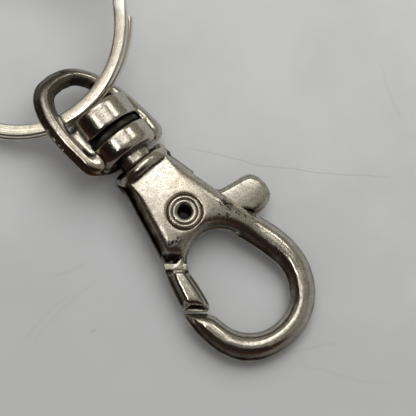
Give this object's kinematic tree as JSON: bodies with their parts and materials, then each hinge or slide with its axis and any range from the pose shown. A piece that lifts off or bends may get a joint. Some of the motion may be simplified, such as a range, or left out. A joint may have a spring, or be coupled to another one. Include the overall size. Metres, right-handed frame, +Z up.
{
  "type": "swivel trigger snap with split ring",
  "caption": "Wallet chain end: a nickel plated trigger snap hook with a slotted swivel eye and a steel split ring.",
  "frame": {"origin": "bottom centre of the whole part's bounding box, on the surface it lies on", "axes": "+Y along the clasp from its loop towards the split ring, +X towards the thumb tab, +Z up off the surface, out of the clasp's upper face"},
  "size_m": [0.0314, 0.075, 0.0114],
  "materials": {
    "hook_body": "worn satin nickel plate on a zinc die casting",
    "pivot_rivet": "nickel plated tube, lips rolled over",
    "trigger_lever": "worn satin nickel plate on a zinc die casting",
    "lever_spring": "plain spring wire",
    "swivel_eye": "worn satin nickel plate on a zinc die casting",
    "split_ring": "bright rolled wire with fine lengthwise lines"
  },
  "bodies": {
    "clasp": {"hook_body": "hook_body", "pivot_rivet": "pivot_rivet", "lever_spring": "lever_spring"},
    "trigger": {"trigger_lever": "trigger_lever"},
    "swivel": {"swivel_eye": "swivel_eye"},
    "ring": {"split_ring": "split_ring"}
  },
  "joints": [
    {"name": "trigger_pivot", "type": "hinge", "parent": "clasp", "child": "trigger", "pos_m": [-0.00052, -0.01442, 0.00372], "axis": [0, -0.0761, 0.9971], "range_deg": [0, 22], "stiffness_Nm_per_rad": 0.08, "deforming": ["lever_spring"]},
    {"name": "swivel_turn", "type": "hinge", "parent": "clasp", "child": "swivel", "pos_m": [-0.00052, -0.00001, 0.00482], "axis": [0, 0.9971, 0.0761], "continuous": true},
    {"name": "ring_swing", "type": "hinge", "parent": "swivel", "child": "ring", "pos_m": [-0.00044, 0.00625, 0.00701], "axis": [0.924, -0.268, 0.2727], "range_deg": [0, 90]}
  ]
}
